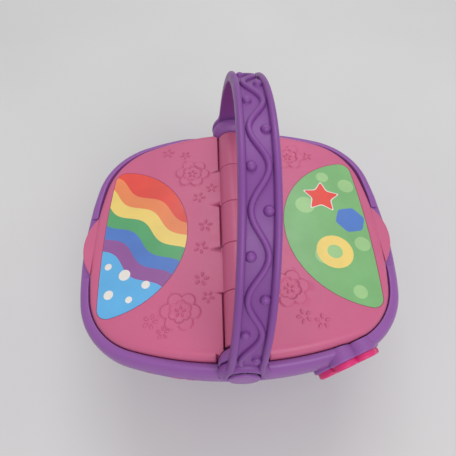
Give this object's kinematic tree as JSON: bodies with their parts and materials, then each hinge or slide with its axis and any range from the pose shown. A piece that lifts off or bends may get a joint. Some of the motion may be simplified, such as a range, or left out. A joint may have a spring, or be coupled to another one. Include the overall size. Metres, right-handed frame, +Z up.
{
  "type": "toy picnic basket",
  "caption": "Toy picnic basket: oval plastic tub with two hinged lids, a swinging arched carry handle, a flower-shaped press button and a sliding power switch below.",
  "frame": {"origin": "centre of the object's footprint on the floor, under the hinge axis", "axes": "+X to the right lid, seen from the front with the flower button; +Y to the back; +Z up"},
  "size_m": [0.2346, 0.2176, 0.2244],
  "materials": {
    "purple_plastic": "satin",
    "lilac_plastic": "satin",
    "base_plastic": "matte",
    "pink_plastic": "satin",
    "hot_pink_plastic": "gloss",
    "left_print": "printed film",
    "right_print": "printed film",
    "steel": "plated",
    "contact_metal": "plated",
    "cell_case": "printed sleeve",
    "rubber": "matte",
    "board_green": "satin",
    "black_plastic": "matte",
    "terminal_white": "matte",
    "lead_cover": "matte",
    "cone_paper": "matte"
  },
  "bodies": {
    "basket": {"basket_shell": "purple_plastic", "inner_tub": "lilac_plastic", "base_plate": "base_plastic", "battery_door": "base_plastic", "door_screw": "steel", "base_screws": "steel", "post_screws": "steel", "rubber_feet": "rubber", "batteries": "cell_case", "battery_contacts": "contact_metal", "circuit_board": "board_green", "board_screws": "steel", "main_chip": "black_plastic", "wire_terminal": "terminal_white", "power_switch": "black_plastic", "battery_lead": "lead_cover", "speaker_lead": "lead_cover", "button_lead": "lead_cover", "switch_lead": "lead_cover", "speaker_frame": "steel", "speaker_cone": "cone_paper", "speaker_magnet": "steel", "speaker_grille": "hot_pink_plastic", "flower_bezel": "purple_plastic", "switch_board": "board_green", "tact_switch": "black_plastic", "front_hinge_post": "purple_plastic", "back_hinge_post": "purple_plastic", "hinge_rod": "steel", "pivot_washers": "steel", "pivot_screws": "steel"},
    "left_lid": {"left_lid": "pink_plastic", "left_label": "left_print"},
    "right_lid": {"right_lid": "pink_plastic", "right_label": "right_print"},
    "handle": {"handle": "purple_plastic", "handle_caps": "purple_plastic"},
    "button": {"flower_button": "hot_pink_plastic", "switch_plunger": "black_plastic"},
    "slider": {"power_slider": "black_plastic"}
  },
  "joints": [
    {"name": "left_lid_hinge", "type": "hinge", "parent": "basket", "child": "left_lid", "pos_m": [0, 0, 0.116], "axis": [0, 1, 0], "range_deg": [0, 82]},
    {"name": "right_lid_hinge", "type": "hinge", "parent": "basket", "child": "right_lid", "pos_m": [0, 0, 0.116], "axis": [0, 1, 0], "range_deg": [-66, 0]},
    {"name": "handle_pivot", "type": "hinge", "parent": "basket", "child": "handle", "pos_m": [0, 0, 0.116], "axis": [0, 1, 0], "range_deg": [-66, 63]},
    {"name": "button_press", "type": "slide", "parent": "basket", "child": "button", "axis": [-0.3665, 0.9304, 0], "range_m": [0, 0.0015], "stiffness_N_per_m": 2000, "springref_m": -0.0005},
    {"name": "power_slide", "type": "slide", "parent": "basket", "child": "slider", "axis": [1, 0, 0], "range_m": [-0.004, 0.004]}
  ]
}
